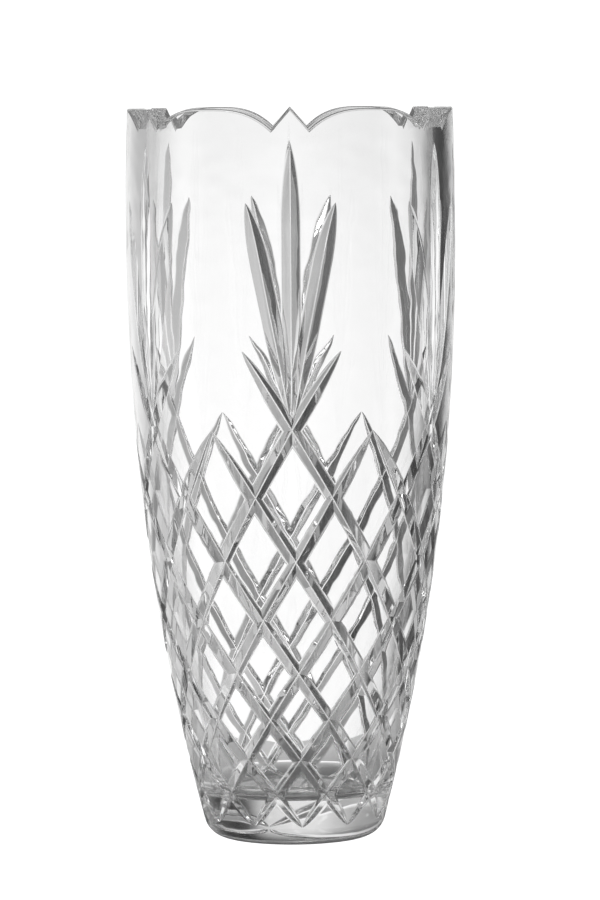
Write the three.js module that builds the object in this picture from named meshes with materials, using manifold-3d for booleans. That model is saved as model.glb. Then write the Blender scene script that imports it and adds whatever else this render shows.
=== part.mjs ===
// Cut crystal vase: one piece of clear lead crystal, blown thick and then cut by hand.
// A net of V cuts wraps the lower half, six fans of leaf cuts stand on it, and the rim is
// ground into six wide scallops with a small tooth between them.
// Millimetres, +Z up. The origin is the centre of the base; a fan faces -Y.

import * as THREE from "three";
import { mergeVertices } from "three/addons/utils/BufferGeometryUtils.js";
import Module from "manifold-3d";

const wasm = await Module();
wasm.setup();

// Body
const height = 305; // rim's highest points above the base
const bellyRadius = 68.8; // widest radius of the body
const bellyHeight = 258; // height of the widest radius
const rimDraw = 1; // how far the wall turns in again at the rim
const footDraw = 32.9; // how far the wall would draw in from the belly to the base
const drawPower = 2.13; // shape of that draw: 2 is a parabola
const footRadius = 28.2; // flat resting face
const footRounding = 10; // radius of the corner above the resting face
const heelLean = 14; // degrees that the wall leans out where it meets that corner
const puntRadius = 11.5; // polished hollow under the base
const puntDepth = 1.8;
const floorHeight = 20; // solid glass under the inner floor
const floorRounding = 6;
const rimWall = 8; // wall thickness at the rim
const heelWall = 14; // wall thickness it would grow to at the base
const wallPower = 16; // how late the wall thickens on its way down

// Net of V cuts
const fans = 6;
const netColumns = 12; // cuts that lean each way
const netRings = [174.5, 146.5, 120, 95.5, 73.5, 53.5, 36.5, 22, 8.5]; // heights of the crossings, and points
const netDrift = 0.6; // degrees that each ring lies round from the one above
const netTopDepth = 3.2;
const netBottomDepth = 2.3;
const cutSlope = 1.25; // half width of a V cut over its depth
const pointFade = 1.2; // steps over which a cut reaches its depth, from a point
const shortLeafFade = 1; // the same from the tip of a short leaf
const bottomFade = 1; // the same from the bottom points
const fadePower = 0.8; // under 1 keeps the points blunt, over 1 draws them out

// Fans: each leaf runs from its foot to its tip, in degrees from the fan's middle and in height
const shortLeafSteps = 1.16; // length of the short leaves, in steps of the net
const middleLeaf = { foot: [0, 180], tip: [0, 290.5], halfWidth: 4.35 };
const sideLeaf = { foot: [0.8, 180], tip: [15.4, 267], halfWidth: 4.5 };
const leafFootFade = 0.38; // share of a leaf's length over which it widens from its foot
const leafTipFade = 0.3; // share over which it rounds off to its tip

// Rim
const toothHalfAngle = 6.55;
const notchDepth = 8.4;
const scallopPower = 3; // a high power keeps the scallop's middle level

// Fineness
const roundSegments = 60;
const wallRows = 10;
const cutClearance = 1.5; // how far a cutter stands out of the glass

const radians = THREE.MathUtils.degToRad;

function outerRadius(z) {
  if (z > bellyHeight) {
    return bellyRadius - rimDraw * ((z - bellyHeight) / (height - bellyHeight)) ** 2;
  }
  return bellyRadius - footDraw * ((bellyHeight - z) / bellyHeight) ** drawPower;
}

function innerRadius(z) {
  const down = 1 - z / height;
  return outerRadius(z) - rimWall - (heelWall - rimWall) * Math.max(down, 0) ** wallPower;
}

// Points of an arc, whose ends are given in degrees from +X.
function arcPoints(x, y, radius, from, to, steps) {
  const curve = new THREE.EllipseCurve(x, y, radius, radius, radians(from), radians(to), to < from);
  return curve.getPoints(steps);
}

function toManifold(geometry) {
  geometry.deleteAttribute("normal");
  geometry.deleteAttribute("uv");
  const merged = mergeVertices(geometry, 1e-3);
  const mesh = new wasm.Mesh({
    numProp: 3,
    vertProperties: new Float32Array(merged.attributes.position.array),
    triVerts: new Uint32Array(merged.index.array),
  });
  return new wasm.Manifold(mesh);
}

function toGeometry(solid) {
  const mesh = solid.getMesh();
  const geometry = new THREE.BufferGeometry();
  geometry.setAttribute("position", new THREE.BufferAttribute(mesh.vertProperties, 3));
  geometry.setIndex(new THREE.BufferAttribute(mesh.triVerts, 1));
  return mergeVertices(geometry, 1e-3);
}

// The uncut body: outer wall, rim, inner wall and floor turned about the axis.
function bodyBlank() {
  const heel = footRounding * (1 - Math.sin(radians(heelLean)));
  const outline = [new THREE.Vector2(0, puntDepth), new THREE.Vector2(puntRadius * 0.6, puntDepth * 0.6)];
  outline.push(new THREE.Vector2(puntRadius, 0));
  outline.push(...arcPoints(footRadius, footRounding, footRounding, -90, -heelLean, 4));
  for (let i = 1; i <= wallRows; i += 1) {
    const z = heel + ((height - heel) * i) / wallRows;
    outline.push(new THREE.Vector2(outerRadius(z), z));
  }
  outline.push(new THREE.Vector2(outerRadius(height), height + cutClearance));
  outline.push(new THREE.Vector2(innerRadius(height), height + cutClearance));
  const bottom = floorHeight + floorRounding;
  for (let i = wallRows; i > 0; i -= 1) {
    const z = bottom + ((height - bottom) * i) / wallRows;
    outline.push(new THREE.Vector2(innerRadius(z), z));
  }
  const cornerX = innerRadius(bottom) - floorRounding;
  outline.push(...arcPoints(cornerX, bottom, floorRounding, 0, -90, 3));
  outline.push(new THREE.Vector2(0, floorHeight));
  const lathe = new THREE.LatheGeometry(outline, roundSegments);
  lathe.rotateX(Math.PI / 2);
  return toManifold(lathe);
}

// A solid carried along a row of sections, each a loop of points that runs anticlockwise when
// seen from the far end. A closed one joins its last section to its first.
function sweptSolid(sections, closed) {
  const sides = sections[0].length;
  const positions = sections.flat().flatMap((point) => [point.x, point.y, point.z]);
  const index = [];
  const spans = closed ? sections.length : sections.length - 1;
  for (let i = 0; i < spans; i += 1) {
    const here = i * sides;
    const next = ((i + 1) % sections.length) * sides;
    for (let k = 0; k < sides; k += 1) {
      const j = (k + 1) % sides;
      index.push(here + k, here + j, next + j, here + k, next + j, next + k);
    }
  }
  if (!closed) {
    const last = (sections.length - 1) * sides;
    for (let k = 1; k < sides - 1; k += 1) {
      index.push(0, k + 1, k, last, last + k, last + k + 1);
    }
  }
  const geometry = new THREE.BufferGeometry();
  geometry.setAttribute("position", new THREE.Float32BufferAttribute(positions, 3));
  geometry.setIndex(index);
  return toManifold(geometry);
}

// A point of the outer wall at an angle in degrees from -Y, raised along the wall's normal.
function wallPoint(angle, z, raise = 0) {
  const slope = outerRadius(z + 0.5) - outerRadius(z - 0.5);
  const normal = new THREE.Vector2(1, -slope).normalize();
  const radius = outerRadius(z) + raise * normal.x;
  const turn = radians(angle);
  return new THREE.Vector3(radius * Math.sin(turn), -radius * Math.cos(turn), z + raise * normal.y);
}

// A V cut along stations of [angle, height, depth]: its section is a triangle that points inwards.
function vCutter(stations) {
  const path = stations.map(([angle, z]) => wallPoint(angle, z));
  const sections = stations.map(([angle, z, depth], i) => {
    const ahead = path[Math.min(i + 1, path.length - 1)];
    const behind = path[Math.max(i - 1, 0)];
    const along = ahead.clone().sub(behind).normalize();
    const outward = wallPoint(angle, z, 1).sub(path[i]).normalize();
    const across = along.cross(outward).normalize();
    const halfWidth = (depth + cutClearance) * cutSlope;
    const top = wallPoint(angle, z, cutClearance);
    const left = top.clone().addScaledVector(across, halfWidth);
    const right = top.clone().addScaledVector(across, -halfWidth);
    return [wallPoint(angle, z, -depth), right, left];
  });
  return sweptSolid(sections, false);
}

// Depth along a cut's end, from nothing at its point to all of it: a power of a parabola.
function endFade(distance, length) {
  const left = 1 - Math.min(Math.max(distance / length, 0), 1);
  return (1 - left * left) ** fadePower;
}

// Height of the net after a number of steps down. A cut is straight between two rings, and runs on
// straight above the top one.
function netHeight(steps) {
  const above = Math.min(Math.max(Math.floor(steps), 0), netRings.length - 2);
  return THREE.MathUtils.lerp(netRings[above], netRings[above + 1], steps - above);
}

// One cut of the net. It starts at a column's top crossing, in a short leaf where a fan stands
// and in a point elsewhere, and leans to one side on its way down.
function netCutter(column, lean) {
  const stepAngle = 360 / (netColumns * 2);
  const start = column % (netColumns / fans) === 0 ? -shortLeafSteps : 0;
  const topFade = start < 0 ? shortLeafFade : pointFade;
  const rows = netRings.length - 1;
  const marks = [0.02, 0.25, 0.6].map((step) => start + step);
  for (let steps = Math.ceil(start + 0.9); steps < rows; steps += 1) {
    marks.push(steps);
  }
  marks.push(rows - 0.4, rows - 0.08);
  const stations = marks.map((steps) => {
    const share = Math.max(steps, 0) / rows;
    const full = netTopDepth + (netBottomDepth - netTopDepth) * share;
    const fade = endFade(steps - start, topFade) * endFade(rows - steps, bottomFade);
    const angle = column * 2 * stepAngle + lean * stepAngle * steps + netDrift * Math.max(steps, 0);
    return [angle, netHeight(steps), full * fade];
  });
  return vCutter(stations);
}

// One leaf of a fan: it widens as a parabola from its foot, and comes to a point at its tip.
function leafCutter(middle, side, leaf) {
  const shares = [0.01, 0.12, 0.25, 0.45, 0.65, 0.82, 0.93, 0.995];
  const stations = shares.map((share) => {
    const angle = middle + side * THREE.MathUtils.lerp(leaf.foot[0], leaf.tip[0], share);
    const z = THREE.MathUtils.lerp(leaf.foot[1], leaf.tip[1], share);
    const narrow = Math.max(1 - share / leafFootFade, 0);
    const swell = (1 - narrow * narrow) * endFade(1 - share, leafTipFade);
    return [angle, z, (leaf.halfWidth / cutSlope) * swell];
  });
  return vCutter(stations);
}

// How far the rim lies under its highest points, at an angle from the middle of a tooth.
function rimDrop(angle) {
  const sector = 360 / fans;
  const fromTooth = Math.abs(angle - sector * Math.round(angle / sector));
  if (fromTooth < toothHalfAngle) {
    return (notchDepth * fromTooth) / toothHalfAngle;
  }
  const share = (sector / 2 - fromTooth) / (sector / 2 - toothHalfAngle);
  return notchDepth * share ** scallopPower;
}

// Everything above the finished rim, as a thick ring with a wavy underside.
function rimCutter() {
  const sector = 360 / fans;
  const halfScallop = sector / 2 - toothHalfAngle;
  const shares = [-1, -0.8, -0.55, -0.25, 0.25, 0.55, 0.8, 1];
  const inSector = [0, ...shares.map((share) => sector / 2 + share * halfScallop)];
  const angles = [...Array(fans).keys()].flatMap((fan) => inSector.map((angle) => fan * sector + angle));
  const inner = innerRadius(height) - cutClearance * 3;
  const outer = bellyRadius + cutClearance;
  const sections = angles.map((angle) => {
    const turn = radians(angle);
    const low = height - rimDrop(angle);
    const high = height + cutClearance * 2;
    const corner = (radius, z) => new THREE.Vector3(radius * Math.sin(turn), -radius * Math.cos(turn), z);
    return [corner(outer, low), corner(inner, low), corner(inner, high), corner(outer, high)];
  });
  return sweptSolid(sections, true);
}

function vaseBody() {
  let glass = bodyBlank();
  for (let column = 0; column < netColumns; column += 1) {
    glass = glass.subtract(netCutter(column, 1)).subtract(netCutter(column, -1));
  }
  for (let fan = 0; fan < fans; fan += 1) {
    const middle = (fan * 360) / fans;
    glass = glass.subtract(leafCutter(middle, 1, sideLeaf)).subtract(leafCutter(middle, -1, sideLeaf));
    glass = glass.subtract(leafCutter(middle, 1, middleLeaf));
  }
  glass = glass.subtract(rimCutter());
  const crystal = new THREE.MeshStandardMaterial({
    color: 0xf2f5f6,
    roughness: 0.03,
    metalness: 0,
    transparent: true,
    opacity: 0.35,
  });
  const mesh = new THREE.Mesh(toGeometry(glass), crystal);
  mesh.name = "vase_body";
  return mesh;
}

const vase = new THREE.Group();
vase.add(vaseBody());

export default vase;
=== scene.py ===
import math
import bpy
import numpy as np
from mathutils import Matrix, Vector


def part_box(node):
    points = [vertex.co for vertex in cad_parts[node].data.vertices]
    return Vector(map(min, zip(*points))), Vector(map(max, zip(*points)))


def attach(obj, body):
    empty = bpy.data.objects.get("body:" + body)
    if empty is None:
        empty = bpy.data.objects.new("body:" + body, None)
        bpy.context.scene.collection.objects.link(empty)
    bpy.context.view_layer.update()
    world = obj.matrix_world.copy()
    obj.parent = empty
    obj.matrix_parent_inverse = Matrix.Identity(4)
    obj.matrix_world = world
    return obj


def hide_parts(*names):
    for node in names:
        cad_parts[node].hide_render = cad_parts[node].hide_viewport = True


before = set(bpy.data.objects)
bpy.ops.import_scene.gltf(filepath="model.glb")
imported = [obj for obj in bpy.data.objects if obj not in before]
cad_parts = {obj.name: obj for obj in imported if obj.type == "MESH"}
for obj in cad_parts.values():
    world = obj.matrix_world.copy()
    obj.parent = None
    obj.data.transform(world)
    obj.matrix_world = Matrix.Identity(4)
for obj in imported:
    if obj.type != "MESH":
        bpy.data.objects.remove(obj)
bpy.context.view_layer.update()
scene = bpy.context.scene
mm = 0.001
vaseLow, vaseHigh = [np.array(corner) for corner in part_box("vase_body")]
vaseHeight = (vaseHigh[2] - vaseLow[2]) / mm
bellyRadius = (vaseHigh[0] - vaseLow[0]) / 2 / mm
print("frame loaded, vase height", round(vaseHeight, 1), "mm, belly radius", round(bellyRadius, 1), "mm")

# The blown body before it is cut. Sizes in millimetres, angles in degrees.
body = {
    "bellyHeight": 258, "rimDraw": 1.0, "footDraw": 32.9, "drawPower": 2.13,
    "footRadius": 28.2, "footRounding": 10, "heelLean": 14,
    "puntRadius": 11.5, "puntDepth": 1.8,  # the polished hollow under the base
    "floorHeight": 20, "floorRounding": 6,
    "rimWall": 8.0, "heelWall": 14, "wallPower": 16,
    "puntCap": 0.1, "floorCap": 1,  # caps on the axis: a share of the punt's radius, and millimetres
    "turns": 144,  # fineness round the axis, and next the points on each stretch of the outline
    "puntPoints": 7, "restPoints": 4, "footPoints": 12, "wallPoints": 46, "cornerPoints": 9, "floorPoints": 8,
}


def outerRadius(z):
    # belly radius less a power of the way down to the base, or a parabola on the way up to the rim
    down = np.clip((body["bellyHeight"] - z) / body["bellyHeight"], 0, None)
    up = np.clip((z - body["bellyHeight"]) / (vaseHeight - body["bellyHeight"]), 0, None)
    return bellyRadius - body["footDraw"] * down ** body["drawPower"] - body["rimDraw"] * up ** 2


def innerRadius(z):
    # outer radius less a wall that thickens with a power of the way down
    down = np.clip(1 - z / vaseHeight, 0, None)
    return outerRadius(z) - body["rimWall"] - (body["heelWall"] - body["rimWall"]) * down ** body["wallPower"]


def wallPoint(angle, z, raised=0.0):
    # point of the outer wall at an angle from -Y, raised along the wall's normal, and that normal: the
    # way out from the axis, tilted down by the radius gained over a millimetre of height
    slope = outerRadius(z + 0.5) - outerRadius(z - 0.5)
    turn = np.radians(angle)
    size = np.hypot(1, slope)
    radial = np.stack([np.sin(turn), -np.cos(turn), np.zeros_like(turn)], -1)
    normal = (radial - np.stack([0 * slope, 0 * slope, slope], -1)) / size[..., None]
    point = radial * outerRadius(z)[..., None] + np.stack([0 * z, 0 * z, z], -1)
    return point + normal * np.asarray(raised)[..., None], normal


def arc(centreX, centreY, radius, start, end, count):
    # points of an arc, its ends in degrees from +X: centre plus radius times cosine and sine
    turn = np.radians(np.linspace(start, end, count))
    return np.stack([centreX + radius * np.cos(turn), centreY + radius * np.sin(turn)], -1)


def bunched(first, last, count):
    # shares from first to last that crowd to both ends: half of one less the cosine
    return (1 - np.cos(np.pi * np.linspace(first, last, count))) / 2


def solidFromGrid(name, points, cornerNormals, closedRound):
    # a closed mesh from a grid of points whose columns close on themselves. Its rows either close too
    # or end in flat caps. Where the volume, a sum of triple products, comes out negative, all the faces
    # are turned over. Each corner carries the true normal of the glass that it will leave behind
    rows, columns = points.shape[:2]
    row, column = [part.ravel() for part in np.meshgrid(
        np.arange(rows if closedRound else rows - 1), np.arange(columns), indexing="ij")]
    nextRow, nextColumn = (row + 1) % rows, (column + 1) % columns
    quads = np.stack([row * columns + column, row * columns + nextColumn,
                      nextRow * columns + nextColumn, nextRow * columns + column], -1)
    flat = points.reshape(-1, 3)
    span = flat[quads]
    bothHalves = np.cross(span[:, 1], span[:, 2]) + np.cross(span[:, 2], span[:, 3])
    volume = np.einsum("ij,ij->i", span[:, 0], bothHalves).sum()
    normals = cornerNormals.reshape(-1, 4, 3)
    loops, sizes, capNormals = [quads], [np.full(len(quads), 4)], []
    if not closedRound:
        first, last = np.arange(columns)[::-1], (rows - 1) * columns + np.arange(columns)
        loops += [first[None], last[None]]
        sizes.append(np.full(2, columns))
        for cap in (first, last):
            spokes = flat[cap] - flat[cap].mean(0)
            facing = np.cross(spokes, np.roll(spokes, -1, axis=0)).sum(0)
            capNormals.append(np.tile(facing / np.linalg.norm(facing), (columns, 1)))
    if volume < 0:
        loops = [faces[:, ::-1] for faces in loops]
        normals = normals[:, ::-1]
    loops = np.concatenate([faces.ravel() for faces in loops])
    sizes = np.concatenate(sizes)
    starts = np.concatenate([[0], np.cumsum(sizes)[:-1]])
    normals = np.concatenate([normals.reshape(-1, 3)] + capNormals)
    mesh = bpy.data.meshes.new(name)
    mesh.vertices.add(len(flat))
    mesh.vertices.foreach_set("co", (flat * mm).ravel())
    mesh.loops.add(len(loops))
    mesh.loops.foreach_set("vertex_index", loops.astype(np.int32))
    mesh.polygons.add(len(sizes))
    mesh.polygons.foreach_set("loop_start", starts.astype(np.int32))
    mesh.update(calc_edges=True)
    carried = mesh.attributes.new("trueNormal", "FLOAT_VECTOR", "CORNER")
    carried.data.foreach_set("vector", normals.astype(np.float32).ravel())
    mesh.validate()
    piece = bpy.data.objects.new(name, mesh)
    scene.collection.objects.link(piece)
    return piece


def bodyOutline():
    # stretches of the turned outline, from the punt's middle up the outside and down the inside:
    # a parabola, a flat ring, an arc, the outer wall, the top, the inner wall, an arc and the floor
    heel = body["footRounding"] * (1 - math.sin(math.radians(body["heelLean"])))
    over = vaseHeight + wheel["clearance"]
    bottom = body["floorHeight"] + body["floorRounding"]
    share = np.linspace(body["puntCap"], 1, body["puntPoints"])
    punt = np.stack([body["puntRadius"] * share, body["puntDepth"] * (1 - share ** 2)], -1)
    restX = np.linspace(body["puntRadius"], body["footRadius"], body["restPoints"])
    rest = np.stack([restX, 0 * restX], -1)
    foot = arc(body["footRadius"], body["footRounding"], body["footRounding"],
               -90, -body["heelLean"], body["footPoints"])
    wallShare = np.linspace(0, 1, body["wallPoints"])
    z = heel + (over - heel) * wallShare
    outside = np.stack([outerRadius(np.minimum(z, vaseHeight)), z], -1)
    z = over + (bottom - over) * wallShare
    inside = np.stack([innerRadius(np.minimum(z, vaseHeight)), z], -1)
    top = np.stack([outside[-1], inside[0]])
    corner = arc(inside[-1, 0] - body["floorRounding"], bottom, body["floorRounding"],
                 0, -90, body["cornerPoints"])
    floorX = np.linspace(corner[-1, 0], body["floorCap"], body["floorPoints"])
    floor = np.stack([floorX, 0 * floorX + corner[-1, 1]], -1)
    return [punt, rest, foot, outside, top, inside, corner, floor]


def makeBlank():
    # the outline turned about the axis: radius times the direction, and height. Each stretch of it is
    # smooth, with its normals a quarter turn from the way it runs, and they meet in creases
    stretches = bodyOutline()
    points = np.concatenate([stretches[0]] + [stretch[1:] for stretch in stretches[1:]])
    ends = []
    for stretch in stretches:
        along = np.gradient(stretch, axis=0)
        facing = np.stack([along[:, 1], -along[:, 0]], -1) / np.linalg.norm(along, axis=1)[:, None]
        ends.append(np.stack([facing[:-1], facing[1:]], 1))
    ends = np.concatenate(ends)  # one pair of normals for each step of the outline
    turn = np.arange(body["turns"] + 1) * 2 * np.pi / body["turns"]
    ring = np.stack([np.sin(turn), -np.cos(turn), 0 * turn], -1)
    up = np.array([0, 0, 1])
    places = points[:, None, :1] * ring[None, :-1] + points[:, None, 1:] * up
    spun = ends[:, None, :, :1] * ring[None, :, None] + ends[:, None, :, 1:] * up
    corners = np.stack([spun[:, :-1, 0], spun[:, 1:, 0], spun[:, 1:, 1], spun[:, :-1, 1]], 2)
    return solidFromGrid("vaseBlank", places, corners, False)


# The grinding wheel: half width over depth, and the radii that polishing leaves.
wheel = {
    "slope": 0.95, "valleyRadius": 0.5, "edgeRadius": 1.6,
    "softDepth": 1.5, "leastSoftness": 0.12,  # below this depth the radii shrink, down to this share
    "runOut": 7,  # slope in degrees at which the rounded edge is let go into the wall
    "lipWidth": 0.4, "lipRise": 0.05, "shoulder": 0.1, "clearance": 1.2,  # the cutter outside the glass
    "valleyShares": (0, 0.35, 0.7, 1.0), "flankShares": (0.35, 0.7), "edgeShares": (0, 0.3, 0.6, 0.85, 1.0),
}


def wheelSection(depth):
    # right half of a cut's section at each station's depth, from its valley out, as sideways, height over
    # the wall and slope angle: an arc for the valley, a straight flank, an arc for the edge that runs out
    # into the wall, and then a lip and a shoulder that stand clear of the glass
    flank = math.atan(1 / wheel["slope"])
    runOut = math.radians(wheel["runOut"])
    softness = np.clip(depth / wheel["softDepth"], wheel["leastSoftness"], 1)[:, None]
    valley, edge = wheel["valleyRadius"] * softness, wheel["edgeRadius"] * softness
    valleyAngle = flank * np.array(wheel["valleyShares"])
    valleyX = valley * np.sin(valleyAngle)
    valleyHeight = valley / math.cos(flank) - depth[:, None] - valley * np.cos(valleyAngle)
    edgeAngle = flank + (runOut - flank) * np.array(wheel["edgeShares"])
    edgeX = depth[:, None] * wheel["slope"] + edge * math.tan(flank / 2) - edge * np.sin(edgeAngle)
    edgeHeight = edge * (np.cos(edgeAngle) - 1)
    flankShare = np.array(wheel["flankShares"])
    flankX = valleyX[:, -1:] + (edgeX[:, :1] - valleyX[:, -1:]) * flankShare
    flankHeight = valleyHeight[:, -1:] + (edgeHeight[:, :1] - valleyHeight[:, -1:]) * flankShare
    edgeHeight = edgeHeight + edge * (1 - math.cos(runOut))  # so that the edge's end is on the wall
    lipX = edgeX[:, -1:] + wheel["lipWidth"]
    lipHeight = edgeHeight[:, -1:] + wheel["lipRise"]
    shoulderX = lipX + wheel["shoulder"]
    shoulderHeight = 0 * lipX + wheel["clearance"]
    x = np.concatenate([valleyX, flankX, edgeX, lipX, shoulderX], 1)
    height = np.concatenate([valleyHeight, flankHeight, edgeHeight, lipHeight, shoulderHeight], 1)
    angle = np.concatenate([valleyAngle, 0 * flankShare + flank, edgeAngle, [runOut, runOut]])
    return np.stack([x, height, 0 * x + angle], -1)


def makeCut(name, angle, z, depth, skew=0.0):
    # a wheel carried along a path on the wall: angle, height and depth at each station. Its section is
    # wrapped round the wall, and its normals are the section's direction crossed with the path's
    path, outward = wallPoint(angle, z)
    along = np.gradient(path, axis=0)
    along /= np.linalg.norm(along, axis=1)[:, None]
    across = np.cross(along, outward)
    across /= np.linalg.norm(across, axis=1)[:, None]
    right = wheelSection(depth)
    left = right[:, ::-1].copy()
    left[..., 0] *= -1
    left[..., 2] *= -1
    section = np.concatenate([left[:, :-1], right], 1)
    section[..., 0] *= 1 + skew * np.sign(section[..., 0])
    turn = np.radians(angle)
    tangent = np.stack([np.cos(turn), np.sin(turn), 0 * turn], -1)
    sideRound = np.einsum("ij,ij->i", across, tangent)
    x = section[..., 0]
    sectionZ = z[:, None] + x * across[:, 2:]
    sectionAngle = angle[:, None] + np.degrees(x * sideRound[:, None] / outerRadius(z)[:, None])
    places, facing = wallPoint(sectionAngle, sectionZ, section[..., 1])
    sideways = across[:, None] - facing * np.einsum("ik,ijk->ij", across, facing)[..., None]
    sideways /= np.linalg.norm(sideways, axis=-1)[..., None]
    tilt = section[..., 2][..., None]
    profile = np.cos(tilt) * sideways + np.sin(tilt) * facing
    onward = np.gradient(places, axis=0)
    normals = np.cross(profile, onward)
    normals /= np.linalg.norm(normals, axis=-1)[..., None]
    normals *= np.sign(np.einsum("ijk,ijk->ij", normals, facing))[..., None]
    nextColumn = np.roll(normals, -1, axis=1)
    corners = np.stack([normals[:-1], nextColumn[:-1], nextColumn[1:], normals[1:]], 2)
    return solidFromGrid(name, places, corners, False)


# The net of V cuts. Its crossings lie on rings marked round the wall, from the top one down.
net = {
    "fans": 6, "columns": 12, "rings": [174.5, 146.5, 120, 95.5, 73.5, 53.5, 36.5, 22, 8.5],
    "drift": 0.6,  # degrees each row lies round from the one above
    "topDepth": 3.2, "bottomDepth": 2.3,
    "shortLeaf": 1.16,  # length of the short leaves, in steps from ring to ring
    "pointFade": 1.2, "leafFade": 1.0, "bottomFade": 1.0, "fadePower": 0.8,
    "stations": 6,  # fineness, in stations to a step: a mix of crowded and even ones, between these ends
    "crowding": 0.35, "crowdedEnds": (0.015, 0.985), "evenEnds": (0.002, 0.998),
}
netSteps = len(net["rings"]) - 1
ringCurve = np.polyfit(np.arange(netSteps + 1), net["rings"], 4)  # the quartic that fits the rings best


def fade(distance, length):
    # from nothing at a cut's point to its full depth: a power of a parabola, which keeps the point sharp
    left = 1 - np.clip(distance / length, 0, 1)
    return (1 - left * left) ** net["fadePower"]


def netHeight(steps):
    # height of a cut after some steps down: the quartic from the top ring down, and straight above it
    topSlope = np.polyval(np.polyder(ringCurve), 0)
    return np.where(steps < 0, np.polyval(ringCurve, 0) + topSlope * steps, np.polyval(ringCurve, steps))


def makeNetCut(column, lean):
    # one cut of the net, from a point or a short leaf down to the bottom points: half a column round, and
    # the drift, for each step down. The depth goes evenly from top to bottom and fades to both ends
    hasLeaf = column % (net["columns"] // net["fans"]) == 0
    start = -net["shortLeaf"] if hasLeaf else 0
    halfColumn = 180 / net["columns"]
    count = int((netSteps - start) * net["stations"])
    crowded, even = bunched(*net["crowdedEnds"], count), np.linspace(*net["evenEnds"], count)
    steps = start + (netSteps - start) * (crowded * net["crowding"] + even * (1 - net["crowding"]))
    below = np.clip(steps, 0, None)
    depth = net["topDepth"] + (net["bottomDepth"] - net["topDepth"]) * below / netSteps
    depth = depth * fade(steps - start, net["leafFade"] if hasLeaf else net["pointFade"])
    depth = depth * fade(netSteps - steps, net["bottomFade"])
    angle = column * 2 * halfColumn + lean * halfColumn * steps + net["drift"] * below
    return makeCut(f"netCut{column}{'R' if lean > 0 else 'L'}", angle, netHeight(steps), depth)


# The leaves of a fan, from foot to tip in degrees from the fan's middle and in height. Skew is the share
# by which one half of a cut is wider, and the other narrower, than an even one.
leaves = {
    "middle": {"foot": (0, 180), "tip": (0, 290.5), "halfWidth": 4.5, "skew": 0.0},
    "side": {"foot": (0.8, 180), "tip": (15.4, 267), "halfWidth": 4.65, "skew": 0.18},
    "footFade": 0.38, "tipFade": 0.30, "stations": 40, "stationEnds": (0.02, 0.995),
}


def fullDepth(halfWidth):
    # depth of a cut of that half width: what its rounded edge leaves of the width, over the slope
    flank = math.atan(1 / wheel["slope"])
    return (halfWidth - wheel["edgeRadius"] * math.tan(flank / 2)) / wheel["slope"]


def makeLeafCut(name, middle, side, leaf):
    # one leaf of a fan, straight from foot to tip: it deepens as a parabola and fades to its tip
    share = bunched(*leaves["stationEnds"], leaves["stations"])
    foot, tip = np.array(leaf["foot"], float), np.array(leaf["tip"], float)
    angle = middle + side * (foot[0] + (tip[0] - foot[0]) * share)
    z = foot[1] + (tip[1] - foot[1]) * share
    left = 1 - np.clip(share / leaves["footFade"], 0, 1)
    depth = fullDepth(leaf["halfWidth"]) * (1 - left ** 2) * fade(1 - share, leaves["tipFade"])
    return makeCut(name, angle, z, depth, -side * leaf["skew"])


# The rim: scallops with a small tooth between them.
rim = {
    "toothHalfAngle": 6.55, "notchDepth": 8.4, "scallopPower": 3, "rounding": 0.9,
    "overhang": 1.0, "skirt": 2.5, "cutHeight": 4,  # the cutter past the wall; its skirt is in roundings
    "scallopPoints": 27, "edgePoints": 6, "edgeRunOut": 8,
    "toothShares": (0.02, 0.25, 0.5, 0.75),
    "creaseAngle": 22,  # a sharper turn than this along the rim stays a crease
}


def rimDrop(angle):
    # how far the rim lies under its highest points: straight flanks on a tooth, a power in a scallop
    sector = 360 / net["fans"]
    fromTooth = np.abs(angle - sector * np.round(angle / sector))
    share = (sector / 2 - fromTooth) / (sector / 2 - rim["toothHalfAngle"])
    scallop = rim["notchDepth"] * np.abs(share) ** rim["scallopPower"]
    tooth = rim["notchDepth"] * fromTooth / rim["toothHalfAngle"]
    return np.where(fromTooth < rim["toothHalfAngle"], tooth, scallop)


def upwardNormal(onward, across):
    # the two directions of a surface crossed, turned to point up out of the rim
    normal = np.cross(onward, across)
    normal /= np.linalg.norm(normal, axis=-1)[..., None]
    return normal * np.where(normal[..., 2:] < 0, -1, 1)


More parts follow.
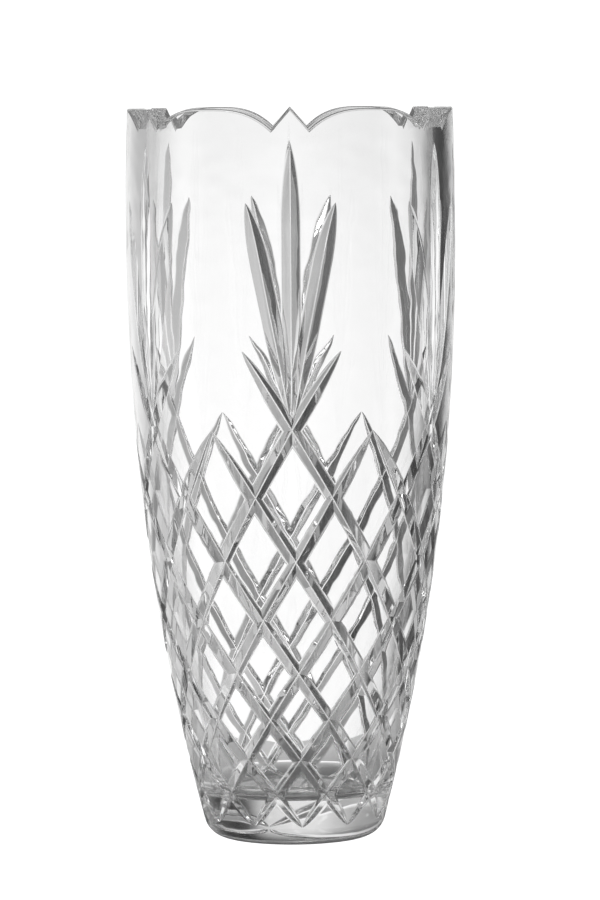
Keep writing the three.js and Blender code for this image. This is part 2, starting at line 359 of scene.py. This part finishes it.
def makeRimCut():
    # all the glass above the finished rim: a ring whose underside drops with the rim, and whose section
    # has an arc at each edge of the wall. Along the rim it is smooth, but for creases at the teeth
    sector = 360 / net["fans"]
    half = sector / 2 - rim["toothHalfAngle"]
    scallop = sector / 2 + half * np.sin(np.linspace(-np.pi / 2, np.pi / 2, rim["scallopPoints"]))
    flank = rim["toothHalfAngle"] * np.array(rim["toothShares"])
    oneFan = np.concatenate([-flank[::-1], flank, scallop])
    angle = np.concatenate([fan * sector + oneFan for fan in range(net["fans"])])
    outer, inner = outerRadius(vaseHeight), innerRadius(vaseHeight)
    r = rim["rounding"]
    skirt = -r * rim["skirt"]
    outerArc = arc(outer - r, -r, r, rim["edgeRunOut"], 90, rim["edgePoints"])
    innerArc = arc(inner + r, -r, r, 90, 180 - rim["edgeRunOut"], rim["edgePoints"])
    farOut, farIn = outer + rim["overhang"], inner - rim["overhang"]
    section = np.concatenate([
        [[farOut, skirt]], outerArc, innerArc,
        [[farIn, skirt], [farIn, rim["cutHeight"]], [farOut, rim["cutHeight"]]]])
    lower = np.arange(len(section)) < len(section) - 2  # the last two points are the cutter's flat top
    turn = np.radians(angle)
    ring = np.stack([np.sin(turn), -np.cos(turn), 0 * turn], -1)
    high = np.where(lower, -rimDrop(angle)[:, None], 0) + section[None, :, 1]
    places = ring[:, None] * section[None, :, :1] + np.array([0, 0, 1]) * (vaseHeight + high)[..., None]
    across = np.gradient(places, axis=1)
    onward = np.roll(places, -1, axis=0) - places
    before = np.roll(onward, 1, axis=0)
    lengths = np.linalg.norm(onward, axis=-1) * np.linalg.norm(before, axis=-1)
    bend = np.einsum("ijk,ijk->ij", onward, before) / lengths
    smooth = bend > math.cos(math.radians(rim["creaseAngle"]))
    mixed = upwardNormal(onward + before, across)
    spanStart = upwardNormal(onward, across)
    spanEnd = upwardNormal(onward, np.roll(across, -1, axis=0))
    startNormal = np.where(smooth[..., None], mixed, spanStart)
    endNormal = np.where(np.roll(smooth, -1, axis=0)[..., None], np.roll(mixed, -1, axis=0), spanEnd)
    corners = np.stack([
        startNormal, np.roll(startNormal, -1, axis=1), np.roll(endNormal, -1, axis=1), endNormal], 2)
    return solidFromGrid("rimCut", places, corners, True)


def cutGlass(blank, cuts):
    # the blank less all the cuts, as one closed mesh that is shaded by its true normals
    workshop = bpy.data.collections.new("cuts")
    scene.collection.children.link(workshop)
    for cut in cuts:
        scene.collection.objects.unlink(cut)
        workshop.objects.link(cut)
    cutting = blank.modifiers.new("cutting", "BOOLEAN")
    cutting.operation = "DIFFERENCE"
    cutting.operand_type = "COLLECTION"
    cutting.collection = workshop
    cutting.solver = "MANIFOLD"
    done = blank.evaluated_get(bpy.context.evaluated_depsgraph_get())
    mesh = bpy.data.meshes.new_from_object(done)
    mesh.name = "vase"
    for spare in [*cuts, blank]:
        bpy.data.objects.remove(spare)
    bpy.data.collections.remove(workshop)
    normals = np.empty(len(mesh.loops) * 3, dtype=np.float32)
    mesh.attributes["trueNormal"].data.foreach_get("vector", normals)
    normals = normals.reshape(-1, 3)
    size = np.linalg.norm(normals, axis=1)
    bare = int((size < 0.5).sum())
    print("cut mesh has", len(mesh.polygons), "faces,", bare, "corners without a normal")
    normals /= np.maximum(size, 1e-6)[:, None]
    mesh.attributes.remove(mesh.attributes["trueNormal"])
    mesh.polygons.foreach_set("use_smooth", np.ones(len(mesh.polygons), dtype=bool))
    mesh.normals_split_custom_set(normals.tolist())
    piece = bpy.data.objects.new("vase", mesh)
    scene.collection.objects.link(piece)
    return piece


def makeVase():
    # the blank less the net's cuts, two to a column, the three long leaves of each fan and the rim's cut
    cuts = []
    for column in range(net["columns"]):
        cuts += [makeNetCut(column, 1), makeNetCut(column, -1)]
    for fan in range(net["fans"]):
        middle = fan * 360 / net["fans"]
        cuts.append(makeLeafCut(f"middleLeaf{fan}", middle, 1, leaves["middle"]))
        cuts.append(makeLeafCut(f"rightLeaf{fan}", middle, 1, leaves["side"]))
        cuts.append(makeLeafCut(f"leftLeaf{fan}", middle, -1, leaves["side"]))
    cuts.append(makeRimCut())
    return cutGlass(makeBlank(), cuts)


vase = makeVase()
print("vase cut")


def objectNoise(tree, size, detail):
    # noise on the piece's own coordinates, its features as wide as the size in metres
    where = tree.nodes.new("ShaderNodeTexCoord")
    noise = tree.nodes.new("ShaderNodeTexNoise")
    noise.inputs["Scale"].default_value = 1 / size
    noise.inputs["Detail"].default_value = detail
    tree.links.new(where.outputs["Object"], noise.inputs["Vector"])
    return noise.outputs["Fac"]


def addBump(tree, shader, height, rise, strength):
    # tilts the surface as if it were raised by the height times the rise, in metres
    bump = tree.nodes.new("ShaderNodeBump")
    bump.inputs["Strength"].default_value = strength
    bump.inputs["Distance"].default_value = rise
    tree.links.new(height, bump.inputs["Height"])
    tree.links.new(bump.outputs["Normal"], shader.inputs["Normal"])


# The glass: clear, with faces that wave a little and a polish that is not quite even. Sizes in metres.
crystal = {
    "ior": 1.54,
    "waveSize": 0.014, "waveDetail": 1, "waveHeight": 0.00012, "waveStrength": 1.0,
    "hazeSize": 0.03, "hazeDetail": 3, "hazeStart": 0.5, "hazeEnd": 0.8,
    "haze": 0.02,  # the roughness where the polish is poorest
}


def makeCrystal():
    # clear glass whose roughness rises from nothing to the haze between two levels of its noise
    material = bpy.data.materials.new("cut crystal")
    material.use_nodes = True
    tree = material.node_tree
    shader = tree.nodes["Principled BSDF"]
    shader.inputs["Base Color"].default_value = (1, 1, 1, 1)
    shader.inputs["IOR"].default_value = crystal["ior"]
    shader.inputs["Transmission Weight"].default_value = 1.0
    waves = objectNoise(tree, crystal["waveSize"], crystal["waveDetail"])
    addBump(tree, shader, waves, crystal["waveHeight"], crystal["waveStrength"])
    clouds = objectNoise(tree, crystal["hazeSize"], crystal["hazeDetail"])
    polish = tree.nodes.new("ShaderNodeMapRange")
    polish.inputs["From Min"].default_value = crystal["hazeStart"]
    polish.inputs["From Max"].default_value = crystal["hazeEnd"]
    polish.inputs["To Max"].default_value = crystal["haze"]
    tree.links.new(clouds, polish.inputs["Value"])
    tree.links.new(polish.outputs["Result"], shader.inputs["Roughness"])
    return material


vase.data.materials.clear()
vase.data.materials.append(makeCrystal())

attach(vase, "root")
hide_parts("vase_body")
print("glass on")

# The table: a pale round top, wide enough to fill what the camera sees of it. Sizes in metres.
table = {
    "radius": 0.22, "sides": 96, "sunk": 0.00005,  # it lies a hair under the foot
    "colour": 0.9, "roughness": 0.8,
    # painted light and shade: the glow in plain sight is even, but the glow that the glass sees stands in for
    # light off a lit table and is painted dark under the foot
    "glow": 1.15, "paintedGlow": 0.35,  # its own light in plain sight, and as the glass sees it
    "paintedShadeRadius": 0.05, "paintedLightRadius": 0.2,
    "grainSize": 0.0008, "grainDetail": 3, "grainHeight": 0.00003, "grainStrength": 0.3,
}


def makeTable():
    # a flat disc: radius times cosine and sine. What the glass sees of its glow is painted light that grows
    # evenly with the distance from the axis, from nothing in a painted shade under the foot
    turn = np.arange(table["sides"]) * 2 * np.pi / table["sides"]
    x, y = table["radius"] * np.cos(turn), table["radius"] * np.sin(turn)
    edge = np.stack([x, y, 0 * turn - table["sunk"]], -1)
    mesh = bpy.data.meshes.new("table")
    mesh.from_pydata(edge.tolist(), [], [list(range(table["sides"]))])
    top = bpy.data.objects.new("table", mesh)
    scene.collection.objects.link(top)
    paper = bpy.data.materials.new("pale table")
    paper.use_nodes = True
    tree = paper.node_tree
    nodes, links = tree.nodes, tree.links
    shader = nodes["Principled BSDF"]
    shader.inputs["Base Color"].default_value = (table["colour"], table["colour"], table["colour"], 1)
    shader.inputs["Roughness"].default_value = table["roughness"]
    shader.inputs["Emission Color"].default_value = (1, 1, 1, 1)
    where = nodes.new("ShaderNodeTexCoord")
    distance = nodes.new("ShaderNodeVectorMath")
    distance.operation = "LENGTH"
    links.new(where.outputs["Object"], distance.inputs[0])
    # painted shade and light: the glow that the glass sees is nothing within the first radius, under the
    # foot, and rises evenly to its full value at the second
    paintedGlow = nodes.new("ShaderNodeMapRange")
    paintedGlow.inputs["From Min"].default_value = table["paintedShadeRadius"]
    paintedGlow.inputs["From Max"].default_value = table["paintedLightRadius"]
    paintedGlow.inputs["To Max"].default_value = table["paintedGlow"]
    links.new(distance.outputs["Value"], paintedGlow.inputs["Value"])
    path = nodes.new("ShaderNodeLightPath")
    glow = nodes.new("ShaderNodeMix")
    glow.inputs["B"].default_value = table["glow"]
    links.new(path.outputs["Is Camera Ray"], glow.inputs["Factor"])
    links.new(paintedGlow.outputs["Result"], glow.inputs["A"])
    links.new(glow.outputs["Result"], shader.inputs["Emission Strength"])
    grain = objectNoise(tree, table["grainSize"], table["grainDetail"])
    addBump(tree, shader, grain, table["grainHeight"], table["grainStrength"])
    mesh.materials.append(paper)
    return top


makeTable()
print("table laid")

# The studio round the vase. "round" is its brightness by degrees to the right of straight behind, all
# the way round, and "upright" by the sine of the height over the table.
studio = {
    "round": [(-180, 0.9), (-140, 0.6), (-110, 0.5), (-97, 0.9), (-83, 0.9), (-70, 0.55), (-38, 0.55),
              (-28, 0.63), (-20, 0.76), (-12, 0.96), (-5, 1.03), (0, 1.0), (8, 0.92), (14, 0.72), (19, 0.38),
              (24, 0.1), (30, 0.05), (42, 0.06), (55, 0.25), (70, 0.45), (83, 0.9), (97, 0.9), (110, 0.5),
              (140, 0.6), (180, 0.9)],
    "upright": [(-1, 0.15), (-0.4, 0.4), (-0.15, 1.1), (-0.05, 1.03), (0, 0.91), (0.15, 0.75), (0.35, 0.4),
                (0.6, 0.12), (1, 0.05)],
    "brightest": 2,  # the brightness at which the curves' own scale ends
    "backdrop": 1.15,  # what the camera sees past the glass
    "softbox": {"place": (-0.61, -1.06, 1.2), "size": 0.9, "power": 8},
}


def makeWorld():
    # world light: level round the horizon times level by height, and a plain backdrop for direct sight
    world = bpy.data.worlds.new("studio")
    scene.world = world
    world.use_nodes = True
    nodes, links = world.node_tree.nodes, world.node_tree.links
    brightest = studio["brightest"]

    def maths(operation, *values):
        # a Math node on numbers and on other nodes' outputs
        node = nodes.new("ShaderNodeMath")
        node.operation = operation
        for socket, value in zip(node.inputs, values):
            if isinstance(value, (int, float)):
                socket.default_value = value
            else:
                links.new(value, socket)
        return node.outputs[0]

    def ramp(value, stops):
        # a smooth curve through the stops, which run from 0 to 1 along it, times the brightest level
        node = nodes.new("ShaderNodeFloatCurve")
        curve = node.mapping.curves[0]
        curve.points[0].location, curve.points[1].location = stops[0], stops[-1]
        for stop in stops[1:-1]:
            curve.points.new(*stop)
        for point in curve.points:
            point.handle_type = "AUTO_CLAMPED"
        node.mapping.use_clip = False
        node.mapping.update()
        links.new(value, node.inputs["Value"])
        return maths("MULTIPLY", node.outputs[0], brightest)

    where = nodes.new("ShaderNodeTexCoord")
    split = nodes.new("ShaderNodeSeparateXYZ")
    links.new(where.outputs["Generated"], split.inputs[0])
    azimuth = maths("ARCTAN2", split.outputs[0], split.outputs[1])
    wayRound = maths("ADD", maths("DIVIDE", azimuth, 2 * math.pi), 0.5)
    level = ramp(wayRound, [((angle + 180) / 360, value / brightest) for angle, value in studio["round"]])
    wayUp = maths("MULTIPLY_ADD", split.outputs[2], 0.5, 0.5)
    lift = ramp(wayUp, [((sine + 1) / 2, value / brightest) for sine, value in studio["upright"]])
    path = nodes.new("ShaderNodeLightPath")
    seen = maths("MULTIPLY", path.outputs["Is Camera Ray"], studio["backdrop"])
    unseen = maths("SUBTRACT", 1.0, path.outputs["Is Camera Ray"])
    light = maths("MULTIPLY", unseen, maths("MULTIPLY", level, lift))
    nodes["Background"].inputs["Color"].default_value = (1, 1, 1, 1)
    links.new(maths("ADD", seen, light), nodes["Background"].inputs["Strength"])


def makeSoftbox():
    # a square light that points from its place to the vase's middle
    softbox = studio["softbox"]
    lamp = bpy.data.lights.new("softbox", "AREA")
    lamp.size = softbox["size"]
    lamp.energy = softbox["power"]
    light = bpy.data.objects.new("softbox", lamp)
    light.location = softbox["place"]
    aim = Vector((0, 0, vaseHeight * mm / 2)) - Vector(softbox["place"])
    light.rotation_euler = aim.to_track_quat("-Z", "Y").to_euler()
    scene.collection.objects.link(light)


makeWorld()
makeSoftbox()
print("studio lit")

# The camera, in millimetres and degrees.
shot = {
    "distance": 2066, "height": 320, "pitch": -4.373, "roll": 0.405, "yaw": -0.122,
    "lens": 198.2, "sensor": 36, "farthest": 50000,
}


def makeCamera():
    # in front of the vase at the distance and height, a quarter turn up from looking down, and then
    # turned by the small angles
    lens = bpy.data.cameras.new("camera")
    lens.lens = shot["lens"]
    lens.sensor_width = shot["sensor"]
    lens.clip_end = shot["farthest"] * mm
    camera = bpy.data.objects.new("camera", lens)
    camera.location = (0, -shot["distance"] * mm, shot["height"] * mm)
    turns = (90 + shot["pitch"], shot["roll"], shot["yaw"])
    camera.rotation_euler = [math.radians(angle) for angle in turns]
    scene.collection.objects.link(camera)
    return camera


bpy.context.scene.camera = makeCamera()
scene.view_settings.view_transform = "Standard"

# Light runs a long way round inside the wall, so it is followed for many bounces.
lightBounces = {"max": 48, "glossy": 48, "transmission": 48, "transparent": 16}
scene.cycles.max_bounces = lightBounces["max"]
scene.cycles.glossy_bounces = lightBounces["glossy"]
scene.cycles.transmission_bounces = lightBounces["transmission"]
scene.cycles.transparent_max_bounces = lightBounces["transparent"]
print("camera set")
